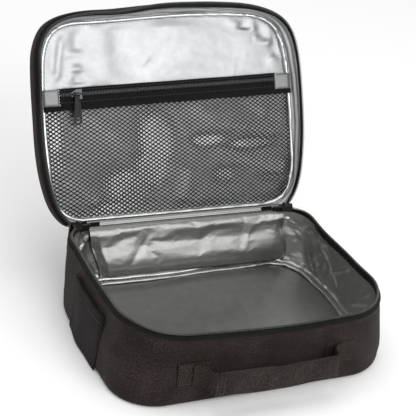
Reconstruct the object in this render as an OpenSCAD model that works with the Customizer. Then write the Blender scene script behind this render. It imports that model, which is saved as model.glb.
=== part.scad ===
// Insulated cooler bag: a shallow soft-sided tub and a hinged lid joined by a zip
// on three sides. The bag stands on its bottom panel with the lid open.
// Origin: centre of the bottom panel's underside. +Z up, -Y front, +Y hinge side.

/* [Bag] */
// Width of the tub at its bottom
bag_w = 254; // [240:1:275]
// Width of the tub at its rim, which the zip draws in
rim_w = 243; // [240:1:250]
// Distance from the origin to the back of the tub
back_y = 92; // [88:1:96]
// Distance from the origin to the front of the tub at its bottom
front_bottom = 96.5; // [93:0.5:99]
// Distance from the origin to the front of the tub at its rim
front_rim = 91.5; // [90:0.5:93]
// Height of the tub's fabric wall
wall_h = 55; // [45:1:75]
// Radius of the front corners
front_r = 50; // [44:1:54]
// Radius of the back corners at the bottom
back_r_bottom = 58; // [40:1:60]
// Radius of the back corners at the rim
back_r_rim = 29; // [28:1:34]

/* [Lid] */
// Width of the lid at its zip edge
lid_w = 245; // [243:1:248]
// Width of the lid at its top panel
lid_top_w = 254; // [250:1:256]
// Length of the lid from the hinge to its front edge
lid_len = 185; // [184:1:187]
// Depth of the lid from the hinge axis to its top panel
lid_t = 24; // [23:0.5:28]
// Radius of the lid's corners on the hinge side
lid_back_r = 30; // [28:1:34]
// Angle of the open lid, from closed
lid_open = 114.5; // [0:0.5:179]

/* [Layers] */
// Thickness of the woven outer fabric
fabric_t = 1; // [0.8:0.1:1]
// Thickness of the closed-cell foam in the tub and the lid's top
foam_t = 5; // [3:0.5:5]
// Thickness of the metallised liner
liner_t = 0.6; // [0.4:0.1:0.6]

/* [Zip] */
// Thickness of the zip tape
tape_t = 0.8; // [0.6:0.1:1]
// Width of the coil across the tape
coil_w = 2.4; // [2:0.1:2.6]
// Angle of the parked zip sliders round the back corners, from straight back
slider_park = 25; // [24:1:45]

/* [Handle] */
// Sideways place of the handle's middle
handle_x = -6; // [-10:1:0]
// Distance between the outer ends of the two sewn webbing patches
handle_span = 156; // [150:1:170]
// Length of the wrapped grip
grip_len = 110; // [100:1:116]
// Width of the webbing
webbing_w = 20; // [18:1:25]
// Height of the handle's axis above the bottom
handle_z = 28; // [24:1:32]
// How far the grip's middle stands out from the axis
grip_out = 17; // [15:0.5:20]

/* [Mesh pocket] */
// Distance from the hinge to the top of the pocket's zip band
mesh_top = 120.3; // [110:0.1:125]
// Tilt of the pocket's zip band, lower at the slider's end, in degrees
mesh_tilt = 1.75; // [0:0.05:2]
// Length of the pocket's zip between the end patches
mesh_zip_w = 214; // [200:1:216]
// Sideways place of the parked pocket slider
mesh_slider_x = -91; // [-95:1:-80]

/* [Side pocket] */
// Front edge of the side pocket
pocket_front = -32; // [-40:1:-25]
// Back edge of the side pocket
pocket_back = 30; // [20:1:36]
// Height of the side pocket's mouth
pocket_top = 50; // [40:1:52]
// How far the side pocket's panel stands out from the tub's bottom edge
pocket_out = 5.4; // [5.4:0.2:8]

/* [Hidden] */

gap = 0.2;                  // space between two layers
hinge_y = back_y + 1;       // the fabric hinge's fold line
hinge_z = wall_h + 7.2;
hinge_clear = 1.2;          // room between the fold and the lid's own layers
hinge_half = 88;            // half the length of the sewn hinge
seam_t = 0.9;               // turned-in seam at the top of a wall
tape_in = 2;                // the tape's inset from the outer face
coil_h = 2.1;
coil_in = tape_in + tape_t / 2 - coil_w / 2;
tub_in = fabric_t + gap + foam_t + gap;      // inset of the tub's liner
tub_inner = tub_in + liner_t;                // inset of the tub's inner face
floor_z = fabric_t + gap + foam_t + gap;     // underside of the floor liner
floor_top = floor_z + liner_t;
front_steps = 10;           // facets round a front corner
back_steps = 8;             // facets round a back corner

black = "#1c1a1a";
charcoal = "#2b2827";
silver = "#b9bcbd";
foam_white = "#e8e8e4";
metal_black = "#141414";

// ---- outlines -------------------------------------------------------------

function mix(a, b, t) = a + (b - a) * t;
function arc(cx, cy, r, a0, a1, n) =
    [for (k = [0:n]) let (a = a0 + (a1 - a0) * k / n) [cx + r * cos(a), cy + r * sin(a)]];

// Rounded outline, anticlockwise from the left end of its straight back edge to
// the right end. Closing it adds the back edge.
function outline(w, y0, y1, rf, rb) = concat(
    arc(-w / 2 + rb, y1 - rb, rb, 90, 180, back_steps),
    arc(-w / 2 + rf, y0 + rf, rf, 180, 270, front_steps),
    arc(w / 2 - rf, y0 + rf, rf, 270, 360, front_steps),
    arc(w / 2 - rb, y1 - rb, rb, 0, 90, back_steps));

// The tub's outline at height z, moved in by inset.
function tub_outline(z, inset) = let (t = min(z / wall_h, 1)) outline(
    mix(bag_w, rim_w, t) - 2 * inset,
    -mix(front_bottom, front_rim, t) + inset,
    back_y - inset,
    front_r - inset,
    mix(back_r_bottom, back_r_rim, t) - inset);

// The closed lid's outline at depth h above the hinge axis, moved in by inset.
function lid_outline(h, inset) = let (t = h / lid_t) outline(
    mix(lid_w, lid_top_w, t) - 2 * inset,
    hinge_y - lid_len + inset,
    hinge_y - hinge_clear - inset,
    front_r - inset,
    lid_back_r - inset);

function tub_ring(z, inset) = [for (p = tub_outline(z, inset)) [p.x, p.y, z]];
function lid_ring(h, inset) = [for (p = lid_outline(h, inset)) [p.x, p.y, hinge_z + h]];

// The straight back stretch of the tub between the rings' two ends.
function tub_back_ring(z, inset) = let (p = tub_outline(z, inset), e = len(p) - 1)
    [[p[e].x, p[e].y, z], [p[0].x, p[0].y, z]];
function lid_back_ring(h, inset) = let (p = lid_outline(h, inset), e = len(p) - 1)
    [[p[e].x, p[e].y, hinge_z + h], [p[0].x, p[0].y, hinge_z + h]];

// ---- solids from rings ----------------------------------------------------

// Skins a band whose cross-section's corners run along the rings. An open band
// gets flat ends, and a closed one joins its last points to its first.
module band(rings, closed = false) {
    m = len(rings);
    n = len(rings[0]);
    points = [for (i = [0:n - 1], j = [0:m - 1]) rings[j][i]];
    last = closed ? n - 1 : n - 2;
    sides = [for (i = [0:last], j = [0:m - 1])
        let (a = i * m + j, b = i * m + (j + 1) % m,
             c = ((i + 1) % n) * m + (j + 1) % m, d = ((i + 1) % n) * m + j)
        each [[a, b, c], [a, c, d]]];
    start = [for (j = [1:m - 2]) [0, j + 1, j]];
    end = [for (j = [1:m - 2]) [(n - 1) * m, (n - 1) * m + j, (n - 1) * m + j + 1]];
    polyhedron(points,
               closed ? sides : concat(sides, start, end), convexity = 6);
}

// A wall band between two heights and two insets of the tub.
module tub_band(z0, z1, in0, in1) {
    band([tub_ring(z0, in0), tub_ring(z1, in0), tub_ring(z1, in1), tub_ring(z0, in1)]);
}

module tub_back_band(z0, z1, in0, in1) {
    band([tub_back_ring(z0, in0), tub_back_ring(z1, in0),
          tub_back_ring(z1, in1), tub_back_ring(z0, in1)]);
}

module lid_band(h0, h1, in0, in1) {
    band([lid_ring(h0, in0), lid_ring(h1, in0), lid_ring(h1, in1), lid_ring(h0, in1)]);
}

module lid_back_band(h0, h1, in0, in1) {
    band([lid_back_ring(h0, in0), lid_back_ring(h1, in0),
          lid_back_ring(h1, in1), lid_back_ring(h0, in1)]);
}

// Turns the closed lid to its open angle about the hinge fold.
module open_lid() {
    translate([0, hinge_y, hinge_z]) rotate([-lid_open, 0, 0])
        translate([0, -hinge_y, -hinge_z]) children();
}

// ---- tub: outer shell -----------------------------------------------------

module base_bottom_panel() {
    color(black) linear_extrude(fabric_t) polygon(tub_outline(0, 0));
}

module base_wall_fabric() {
    color(charcoal) tub_band(fabric_t + 0.1, wall_h, 0, fabric_t);
}

module base_back_panel() {
    color(charcoal) tub_back_band(fabric_t + 0.1, wall_h + 6, 0, fabric_t);
}

module rim_seam_fold() {
    color(black) tub_band(wall_h + 0.1, wall_h + 0.1 + seam_t, 0, tub_inner);
}

// ---- tub: insulation ------------------------------------------------------

foam_z0 = fabric_t + gap;
foam_in = fabric_t + gap;

module floor_foam() {
    color(foam_white) translate([0, 0, foam_z0]) linear_extrude(foam_t)
        polygon(tub_outline(floor_z, foam_in + 1));
}

module wall_foam() {
    color(foam_white) tub_band(floor_z, wall_h - 0.1, foam_in, foam_in + foam_t);
}

module back_foam() {
    color(foam_white) tub_back_band(floor_z, wall_h + 4, foam_in, foam_in + foam_t);
}

// ---- tub: liner -----------------------------------------------------------

module floor_liner() {
    color(silver) translate([0, 0, floor_z]) linear_extrude(liner_t)
        polygon(tub_outline(floor_top, tub_in + 0.1));
}

module wall_liner() {
    color(silver) tub_band(floor_top + 0.1, wall_h, tub_in, tub_inner);
}

module back_liner() {
    color(silver) tub_back_band(floor_top + 0.1, wall_h + 4, tub_in, tub_inner);
}

// Bound seam that joins the floor liner to the wall liner.
bead_r = 2;
bead_sides = 6;
module floor_seam_binding() {
    bead_in = tub_inner + bead_r + gap;
    bead_z = floor_top + bead_r + gap;
    color(silver) band([for (j = [0:bead_sides - 1]) let (a = -360 * j / bead_sides)
        tub_ring(bead_z + bead_r * sin(a), bead_in + bead_r * cos(a))], closed = true);
}

// ---- hinge ----------------------------------------------------------------

pad_half = 78;              // half the width of the padded hinge flap
pad_t = 5;
pad_z0 = floor_top + 5.6;
module hinge_pad_foam() {
    color(foam_white) translate([-pad_half + 2, back_y - tub_inner - gap - pad_t + 0.8, pad_z0])
        cube([2 * pad_half - 4, pad_t - 1, wall_h + 3.4 - pad_z0]);
}

module hinge_pad_liner() {
    face_y = back_y - tub_inner - gap - pad_t;
    color(silver) translate([-pad_half, face_y, pad_z0])
        cube([2 * pad_half, liner_t, wall_h + 4 - pad_z0]);
}

// The turned edge of the fabric that the lid folds about.
fold_r = 0.9;
module hinge_fold() {
    color(black) translate([-hinge_half, hinge_y, hinge_z]) rotate([0, 90, 0])
        cylinder(r = fold_r, h = 2 * hinge_half, $fn = 24);
}

// ---- main zip -------------------------------------------------------------

base_tape_z = wall_h + 0.2 + seam_t;
base_coil_z = hinge_z - hinge_clear - coil_h;
module base_zip_tape() {
    color(black) tub_band(base_tape_z, base_coil_z - 0.1, tape_in, tape_in + tape_t);
}

module base_zip_coil() {
    color(metal_black) tub_band(base_coil_z, base_coil_z + coil_h, coil_in, coil_in + coil_w);
}

module zip_end_tab(side) {
    color(black) translate([side * (hinge_half - 3) - 5, back_y + 0.1, wall_h - 6])
        cube([10, 0.6, 11]);
}

module zip_end_tab_left() {
    zip_end_tab(-1);
}

module zip_end_tab_right() {
    zip_end_tab(1);
}

// ---- zip sliders and pulls ------------------------------------------------

bar_r = 0.8;                // crown bar that a pull turns on
bar_clear = 0.1;
eye_r = 1.7;
crown_h = 2.2;              // from the slider's face to the bar's axis

// Crown: two posts and a bar along X above a face at z = 0.
module crown(length) {
    for (s = [-1, 1])
        translate([s * (length / 2 - 0.6) - 0.6, -bar_r, -0.1]) cube([1.2, 2 * bar_r, crown_h + 0.1]);
    translate([-length / 2, 0, crown_h]) rotate([0, 90, 0]) cylinder(r = bar_r, h = length, $fn = 24);
}

// Pull tab that hangs along -Y from a bar along X, with the bar's axis at the
// origin. It has an eye, a sunk panel and a finger window near its free end.
pull_len = 26;
pull_t = 1.3;
function pull_shape(w0, w1, len, inset) = let (r = w1 / 2 - inset) concat(
    [[w0 / 2 - inset, -1 - inset], [-w0 / 2 + inset, -1 - inset]],
    arc(0, -len + w1 / 2, r, 180, 360, 12));

module pull_tab(scale_len = 1) {
    long = pull_len * scale_len;
    eye_len = 3.6;
    difference() {
        union() {
            translate([-eye_len / 2, 0, 0]) rotate([0, 90, 0]) cylinder(r = eye_r, h = eye_len, $fn = 32);
            translate([0, 0, -pull_t / 2]) linear_extrude(pull_t) difference() {
                polygon(pull_shape(4.4, 7.4, long, 0));
                translate([0, -long + 4]) circle(d = 4.6, $fn = 32);
                translate([-2.3, -long + 4]) square([4.6, 2.4]);
            }
        }
        translate([-eye_len / 2 - 1, 0, 0]) rotate([0, 90, 0])
            cylinder(r = bar_r + bar_clear, h = eye_len + 2, $fn = 32);
        translate([-1.8, -long + 9.2, pull_t / 2 - 0.35]) cube([3.6, long - 14, 1]);
    }
}

// Main slider, laid with its travel along X, the bag's outside along +Z and up
// along +Y. Its two plates straddle the tape, and the wedge between them parts the coils.
plate_w = 5.6;
plate_t = 1.2;
plate_len = 10;
throat = 4.4;               // between the two plates
module slider_plate() {
    linear_extrude(plate_t) hull() {
        for (s = [-1, 1]) translate([s * (plate_len / 2 - 1.6), 0]) circle(r = 1.6, $fn = 24);
        translate([-plate_len / 2 + 0.4, plate_w / 2 - 0.5]) square([plate_len - 0.8, 0.5]);
        translate([-plate_len / 2 + 0.4, -plate_w / 2]) square([plate_len - 0.8, 0.5]);
    }
}

module main_slider() {
    color(metal_black) {
        translate([0, 0, throat / 2]) slider_plate();
        translate([0, 0, -throat / 2 - plate_t]) slider_plate();
        translate([-3, plate_w / 2 - 1.5, -throat / 2 - 0.1]) cube([6, 1.5, throat + 0.2]);
        translate([0, 0, throat / 2 + plate_t]) crown(8.4);
    }
}

// Puts a slider's middle on the zip at angle park from straight back round the
// left (side = -1) or right (side = 1) back corner.
corner_x = rim_w / 2 - back_r_rim;
corner_y = back_y - back_r_rim;
slider_z = hinge_z + 0.9 - plate_w / 2;
module on_corner(side, out) {
    translate([side * corner_x, corner_y, slider_z])
        rotate([0, 0, side < 0 ? slider_park : -slider_park])
            translate([0, back_r_rim - tape_in - tape_t / 2 + out, 0])
                rotate([90, 0, 180]) children();
}

module slider_left() {
    on_corner(-1, 0) main_slider();
}

module slider_right() {
    on_corner(1, 0) main_slider();
}

pull_out = throat / 2 + plate_t + crown_h;
pull_lean = 3;              // a hanging pull's foot stands off the wall by this angle
module pull_left() {
    color(metal_black) on_corner(-1, pull_out) rotate([pull_lean, 0, 0]) pull_tab();
}

module pull_right() {
    color(metal_black) on_corner(1, pull_out) rotate([pull_lean, 0, 0]) pull_tab();
}

// ---- side pocket ----------------------------------------------------------

pocket_t = 0.8;
pocket_z0 = 1.6;
pocket_x = -bag_w / 2 - pocket_out;
function wall_x(z) = -mix(bag_w, rim_w, z / wall_h) / 2;

// End wall of the pocket, which follows the tub's leaning side.
module pocket_end(y) {
    translate([0, y + pocket_t, 0]) rotate([90, 0, 0]) linear_extrude(pocket_t) polygon([
        [pocket_x, pocket_z0], [wall_x(pocket_z0) - gap, pocket_z0],
        [wall_x(pocket_top) - gap, pocket_top], [pocket_x, pocket_top]]);
}

module side_pocket_panel() {
    color(charcoal) union() {
        translate([pocket_x, pocket_front, pocket_z0])
            cube([pocket_t, pocket_back - pocket_front, pocket_top - pocket_z0]);
        translate([pocket_x, pocket_front, pocket_z0])
            cube([pocket_out - gap - 0.2, pocket_back - pocket_front, pocket_t]);
        pocket_end(pocket_front);
        pocket_end(pocket_back - pocket_t);
    }
}

hem_w = 7;
module side_pocket_hem() {
    color(black) translate([pocket_x - 0.1 - pocket_t, pocket_front + 1, pocket_top - hem_w])
        cube([pocket_t, pocket_back - pocket_front - 2, hem_w]);
}

// ---- handle ---------------------------------------------------------------

webbing_t = 1.4;
patch_len = 24;
lean = atan((front_bottom - front_rim) / wall_h);        // the front wall leans back by this
wall_y = -mix(front_bottom, front_rim, handle_z / wall_h);
patch_y = wall_y - 0.1;
axis_y = patch_y - webbing_t;
grip_t = 7;
grip_y = axis_y - grip_out;
loop_gap = 0.3;

// Webbing end sewn flat on the front wall, with a turned-under outer end.
module handle_patch(side) {
    outer = handle_x + side * handle_span / 2;
    color(black) translate([side < 0 ? outer : outer - patch_len, patch_y, handle_z])
        rotate([-lean, 0, 0]) translate([0, -webbing_t, -webbing_w / 2])
            cube([patch_len, webbing_t, webbing_w]);
}

module handle_patch_left() {
    handle_patch(-1);
}

module handle_patch_right() {
    handle_patch(1);
}

// Webbing from the patch out to the grip, a bent strip seen from above.
loop_w = webbing_w - 2;
module handle_loop(side) {
    patch_end = handle_span / 2 - patch_len;
    grip_end = grip_len / 2;
    bend_out = axis_y - 1.6;
    color(black) translate([handle_x, 0, handle_z - loop_w / 2]) to_side(side)
        linear_extrude(loop_w) polygon([
            [patch_end + 14, bend_out], [patch_end + 14, bend_out - webbing_t],
            [patch_end + 8, bend_out - webbing_t - 2.2], [grip_end + 1.2, grip_y + 3.6],
            [grip_end + 1.2, grip_y - 1.2], [grip_end - 1, grip_y - 1.2],
            [grip_end - 1 + 0.6, grip_y + 2.6], [patch_end + 5, bend_out - 2],
            [patch_end + 10, bend_out]]);
}

// Mirror for the left side.
module to_side(side) {
    if (side < 0) mirror([1, 0, 0]) children();
    else children();
}

module handle_loop_left() {
    handle_loop(-1);
}

module handle_loop_right() {
    handle_loop(1);
}

// Fabric sleeve round the grip: a flat tube with round edges and closed ends.
module grip_section(inset) {
    r = grip_t / 2 - inset;
    h = webbing_w / 2 - grip_t / 2;
    translate([0, h]) circle(r = r, $fn = 24);
    translate([0, -h]) circle(r = r, $fn = 24);
    translate([-r, -h]) square([2 * r, 2 * h]);
}

sleeve_t = 1;
module grip_body(length, inset) {
    translate([handle_x - length / 2, grip_y, handle_z]) rotate([90, 0, 90])
        linear_extrude(length) grip_section(inset);
}

module handle_grip_wrap() {
    color(charcoal) difference() {
        grip_body(grip_len - 3, 0);
        grip_body(grip_len - 5, sleeve_t);
    }
}

module handle_grip_core() {
    color(foam_white) grip_body(grip_len - 5.4, sleeve_t + gap);
}

// ---- lid: outer shell and insulation --------------------------------------

gusset_foam_t = 2.4;
lid_seam_h = 8;             // turned seam between the tape and the gusset
lid_top_in = lid_t - fabric_t;
gusset_in = fabric_t + gap + gusset_foam_t + gap;
gusset_inner = gusset_in + liner_t;
lid_foam_h = lid_top_in - gap - foam_t;
lid_liner_h = lid_foam_h - gap - liner_t;

module lid_top_panel() {
    color(charcoal) open_lid() translate([0, 0, hinge_z + lid_top_in])
        linear_extrude(fabric_t) polygon(lid_outline(lid_t, 0));
}

module lid_gusset() {
    color(charcoal) open_lid() lid_band(lid_seam_h, lid_top_in - 0.1, 0, fabric_t);
}

module lid_back_gusset() {
    color(charcoal) open_lid() lid_back_band(1.4, lid_top_in - 0.1, 0, fabric_t);
}

module lid_seam_fold() {
    color(black) open_lid() lid_band(lid_seam_h - 0.1 - seam_t, lid_seam_h - 0.1, 0, gusset_inner);
}

module lid_foam() {
    color(foam_white) open_lid() translate([0, 0, hinge_z + lid_foam_h])
        linear_extrude(foam_t) polygon(lid_outline(lid_foam_h, fabric_t + gap));
}

module lid_gusset_foam() {
    color(foam_white) open_lid() lid_band(lid_seam_h, lid_foam_h - 0.1,
        fabric_t + gap, fabric_t + gap + gusset_foam_t);
}

module lid_liner() {
    color(silver) open_lid() translate([0, 0, hinge_z + lid_liner_h])
        linear_extrude(liner_t) polygon(lid_outline(lid_liner_h, gusset_inner + gap));
}

module lid_gusset_liner() {
    color(silver) open_lid() lid_band(lid_seam_h, lid_foam_h - 0.3, gusset_in, gusset_inner);
}

module lid_seam_binding() {
    bead_in = gusset_inner + bead_r + gap;
    bead_h = lid_liner_h - bead_r - gap;
    color(silver) open_lid() band([for (j = [0:bead_sides - 1]) let (a = -360 * j / bead_sides)
        lid_ring(bead_h + bead_r * sin(a), bead_in + bead_r * cos(a))], closed = true);
}

// ---- lid: zip -------------------------------------------------------------

lid_coil_h = hinge_clear;
module lid_zip_tape() {
    color(black) open_lid() lid_band(lid_coil_h + coil_h + 0.1, lid_seam_h - 0.2 - seam_t,
        tape_in, tape_in + tape_t);
}

module lid_zip_coil() {
    color(metal_black) open_lid() lid_band(lid_coil_h, lid_coil_h + coil_h, coil_in, coil_in + coil_w);
}

// ---- lid: mesh pocket -----------------------------------------------------

mesh_in = gusset_inner + 2 * bead_r + 2 * gap + 0.4;    // inset of the pocket's edge
mesh_h = 14.2;              // depth of the mesh sheet
mesh_t = 0.6;
skirt_top = lid_liner_h - gap;
hem_v0 = mesh_top - 18.2;   // the hem's near edge, measured from the hinge
hem_v1 = mesh_top - 14.7;
chain_v = mesh_top - 5.6;   // middle of the pocket's zip

// Turns the zip band's pieces about the band's right end, within the lid's plane.
band_shift = 0.45;
module tilt_band() {
    translate([mesh_zip_w / 2 - band_shift, hinge_y - mesh_top, 0]) rotate([0, 0, -mesh_tilt])
        translate([-mesh_zip_w / 2, mesh_top - hinge_y, 0]) children();
}

// A flat strip of the pocket from v0 to v1 from the hinge, full or part width.
module pocket_strip(v0, v1, half, t = mesh_t) {
    open_lid() tilt_band() translate([-half, hinge_y - v1, hinge_z + mesh_h]) cube([2 * half, v1 - v0, t]);
}

module mesh_pocket() {
    // The sheet, with a skirt that reaches the liner on its three sewn edges.
    color(black) open_lid() intersection() {
        difference() {
            translate([0, 0, hinge_z + mesh_h]) linear_extrude(skirt_top - mesh_h)
                polygon(lid_outline(mesh_h, mesh_in));
            translate([0, 0, hinge_z + mesh_h + mesh_t]) linear_extrude(skirt_top)
                polygon(lid_outline(mesh_h, mesh_in + mesh_t));
        }
        tilt_band() translate([-lid_w, hinge_y - hem_v0 + 0.1, hinge_z])
            cube([2 * lid_w, hem_v0 + 10, lid_t]);
    }
}

mesh_half = lid_w / 2 - mesh_in + 1;
module mesh_hem() {
    color(black) pocket_strip(hem_v0, hem_v1, mesh_half);
}

module mesh_zip_lower_tape() {
    color(black) pocket_strip(hem_v1 + 0.1, chain_v - 0.2, mesh_zip_w / 2);
}

module mesh_zip_upper_tape() {
    color(black) union() {
        pocket_strip(chain_v + 0.2, mesh_top, mesh_zip_w / 2);
        pocket_strip(mesh_top - mesh_t, mesh_top, mesh_zip_w / 2, skirt_top - mesh_h);
    }
}

mesh_coil_w = 4;
mesh_coil_t = 1.4;
module mesh_zip_coil() {
    color(metal_black) open_lid() tilt_band()
        translate([-mesh_zip_w / 2 + 3, hinge_y - chain_v - mesh_coil_w / 2,
            hinge_z + mesh_h - 0.1 - mesh_coil_t]) cube([mesh_zip_w - 6, mesh_coil_w, mesh_coil_t]);
}

module mesh_zip_stops() {
    color("silver") open_lid() tilt_band() for (s = [-1, 1])
        translate([s * (mesh_zip_w / 2 - 1.4) - 1, hinge_y - chain_v - 2.4, hinge_z + mesh_h - 1.6])
            cube([2, 4.8, 1.5]);
}

module mesh_end_patch(side) {
    half = mesh_zip_w / 2 + 0.2;
    x0 = side < 0 ? -mesh_half : half;
    color(silver) open_lid() tilt_band() union() {
        translate([x0, hinge_y - mesh_top, hinge_z + mesh_h])
            cube([mesh_half - half, mesh_top - hem_v1 - 0.1, mesh_t]);
        translate([x0, hinge_y - mesh_top, hinge_z + mesh_h])
            cube([mesh_half - half, mesh_t, skirt_top - mesh_h]);
    }
}

module mesh_end_patch_left() {
    mesh_end_patch(-1);
}

module mesh_end_patch_right() {
    mesh_end_patch(1);
}

// Pocket slider: a channel over the coil with a crown on its outer face.
pocket_slider_w = 8.6;
pocket_slider_len = 10.5;
slider_base_h = mesh_h - 0.3;
module at_mesh_slider() {
    open_lid() tilt_band() translate([mesh_slider_x, hinge_y - chain_v, hinge_z + slider_base_h])
        rotate([180, 0, 0]) children();
}

slider_body_t = 3.4;
mesh_pull_lean = 9;         // the pull's free end lies on the mesh
module mesh_slider() {
    color(metal_black) at_mesh_slider() {
        difference() {
            linear_extrude(slider_body_t) hull() {
                translate([-pocket_slider_len / 2 + 2, 0]) circle(r = 2, $fn = 24);
                translate([1, -pocket_slider_w / 2]) square([pocket_slider_len / 2 - 1, pocket_slider_w]);
            }
            translate([-pocket_slider_len, -mesh_coil_w / 2 - 0.4, -1])
                cube([2 * pocket_slider_len, mesh_coil_w + 0.8, mesh_coil_t + 1.3]);
        }
        translate([0, 0, slider_body_t]) crown(8);
    }
}

module mesh_pull() {
    color(metal_black) at_mesh_slider() translate([0, 0, slider_body_t + crown_h])
        rotate([mesh_pull_lean, 0, 0]) pull_tab(1.04);
}

// ---- nodes ----------------------------------------------------------------

base_bottom_panel();
base_wall_fabric();
base_back_panel();
rim_seam_fold();
floor_foam();
wall_foam();
back_foam();
floor_liner();
wall_liner();
back_liner();
floor_seam_binding();
hinge_pad_foam();
hinge_pad_liner();
hinge_fold();
base_zip_tape();
base_zip_coil();
zip_end_tab_left();
zip_end_tab_right();
side_pocket_panel();
side_pocket_hem();
handle_patch_left();
handle_patch_right();
handle_loop_left();
handle_loop_right();
handle_grip_wrap();
handle_grip_core();
slider_left();
slider_right();
pull_left();
pull_right();
lid_top_panel();
lid_gusset();
lid_back_gusset();
lid_seam_fold();
lid_foam();
lid_gusset_foam();
lid_liner();
lid_gusset_liner();
lid_seam_binding();
lid_zip_tape();
lid_zip_coil();
mesh_pocket();
mesh_hem();
mesh_zip_lower_tape();
mesh_zip_upper_tape();
mesh_zip_coil();
mesh_zip_stops();
mesh_end_patch_left();
mesh_end_patch_right();
mesh_slider();
mesh_pull();
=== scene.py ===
import math

import bpy
import numpy as np
from mathutils import Matrix, Vector


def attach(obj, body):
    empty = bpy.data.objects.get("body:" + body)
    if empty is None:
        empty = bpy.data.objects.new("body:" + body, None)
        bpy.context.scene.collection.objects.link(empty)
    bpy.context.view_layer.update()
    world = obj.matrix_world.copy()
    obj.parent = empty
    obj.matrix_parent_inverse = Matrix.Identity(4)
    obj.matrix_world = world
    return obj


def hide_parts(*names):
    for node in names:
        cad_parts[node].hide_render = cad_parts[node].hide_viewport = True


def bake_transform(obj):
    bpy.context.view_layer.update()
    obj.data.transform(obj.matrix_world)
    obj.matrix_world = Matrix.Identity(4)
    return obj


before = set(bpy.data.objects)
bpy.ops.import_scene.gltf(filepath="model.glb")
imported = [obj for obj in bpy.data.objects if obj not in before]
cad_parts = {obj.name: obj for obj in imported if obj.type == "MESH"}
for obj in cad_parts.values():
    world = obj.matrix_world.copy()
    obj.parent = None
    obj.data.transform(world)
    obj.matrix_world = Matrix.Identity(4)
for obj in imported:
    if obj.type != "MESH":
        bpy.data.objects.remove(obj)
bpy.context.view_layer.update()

MM = 0.001
scene = bpy.context.scene

# ---- measures, in millimetres, the same as the CAD part's ----------------------------------

WALL_H = 55.0
BACK_Y = 92.0
HINGE_Y, HINGE_Z = 93.0, 62.2
LID_ANGLE = math.radians(114.5)
LID_LEN = 184.5
HANDLE_X, HANDLE_Z = -6.0, 28.0


def mix(a, b, t):
    return a + (b - a) * t


def smooth(t):
    t = np.clip(t, 0, 1)
    return t * t * (3 - 2 * t)


def bump_at(d, width):
    """A soft bump that is 1 at d = 0 and fades over width."""
    return np.exp(-((np.asarray(d) / width) ** 2))


# ---- outlines ------------------------------------------------------------------------------


def arc(cx, cy, r, a0, a1, n):
    a = np.radians(np.linspace(a0, a1, n, endpoint=False))
    return np.stack([cx + r * np.cos(a), cy + r * np.sin(a)], 1)


def line(p, q, n):
    t = np.linspace(0, 1, n, endpoint=False)[:, None]
    return np.array(p) * (1 - t) + np.array(q) * t


def outline(w, y0, y1, rl, rf, rb, closed=False):
    """Rounded outline from the left end of the straight back edge round the front to the
    right end, with the same number of points whatever its size. rl and rf are the left and
    right front corners' radii, and rb the back corners'."""
    x = w / 2
    parts = [
        arc(-x + rb, y1 - rb, rb, 90, 180, 26),
        line((-x, y1 - rb), (-x, y0 + rl), 44),
        arc(-x + rl, y0 + rl, rl, 180, 270, 40),
        line((-x + rl, y0), (x - rf, y0), 70),
        arc(x - rf, y0 + rf, rf, 270, 360, 40),
        line((x, y0 + rf), (x, y1 - rb), 44),
        arc(x - rb, y1 - rb, rb, 0, 90, 26),
    ]
    if closed:
        parts.append(line((x - rb, y1), (-x + rb, y1), 80))
    else:
        parts.append(np.array([[x - rb, y1]]))
    return np.concatenate(parts)


def loop_smooth(p, times, closed):
    p = p.copy()
    for _ in range(times):
        if closed:
            p = (np.roll(p, 1, 0) + 2 * p + np.roll(p, -1, 0)) / 4
        else:
            p[1:-1] = (p[:-2] + 2 * p[1:-1] + p[2:]) / 4
    return p


def normals_of(p, closed):
    """Outward normals of an anticlockwise outline."""
    if closed:
        d = np.roll(p, -1, 0) - np.roll(p, 1, 0)
    else:
        d = np.gradient(p, axis=0)
    d /= np.linalg.norm(d, axis=1)[:, None] + 1e-9
    return np.stack([d[:, 1], -d[:, 0]], 1)


def tub_outline(z, closed=False):
    t = min(max(z / WALL_H, 0), 1)
    p = outline(
        mix(254, 240.5, t), -mix(96.4, 91.2, t), BACK_Y,
        mix(37, 51, t), mix(51, 51, t), mix(50, 29.5, t), closed,
    )
    # The bottom narrows a little towards the back.
    pull = 4.0 * (1 - t) * smooth((p[:, 1] + 10) / 65)
    p[:, 0] -= np.sign(p[:, 0]) * pull * np.clip(np.abs(p[:, 0]) / 100, 0, 1)
    return loop_smooth(p, 8, closed)


def slump(p):
    """The tub's own slackness: the front rim bows out and sags, and the left back corner is
    drawn in."""
    p = np.array(p, float)
    x, y, z = p[..., 0], p[..., 1], p[..., 2]
    front = smooth((-y - 55) / 32) * bump_at(x - 14, 78) * smooth((z - 12) / 42)
    rear = smooth((-x - 90) / 24) * smooth((y - 5) / 50) * smooth(z / 25)
    p[..., 1] -= 3.6 * front
    p[..., 2] -= 3.0 * front
    p[..., 0] += 2.2 * rear - 2.2 * smooth((x - 60) / 55) * smooth((75 - y) / 40)
    return p


def tub_ring(z, off, closed=False):
    """The tub's outline at height z, moved out by off, as 3-D points."""
    p = tub_outline(z, closed)
    p = p + normals_of(p, closed) * np.asarray(off)[..., None]
    return slump(np.column_stack([p, np.full(len(p), z)]))


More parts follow.
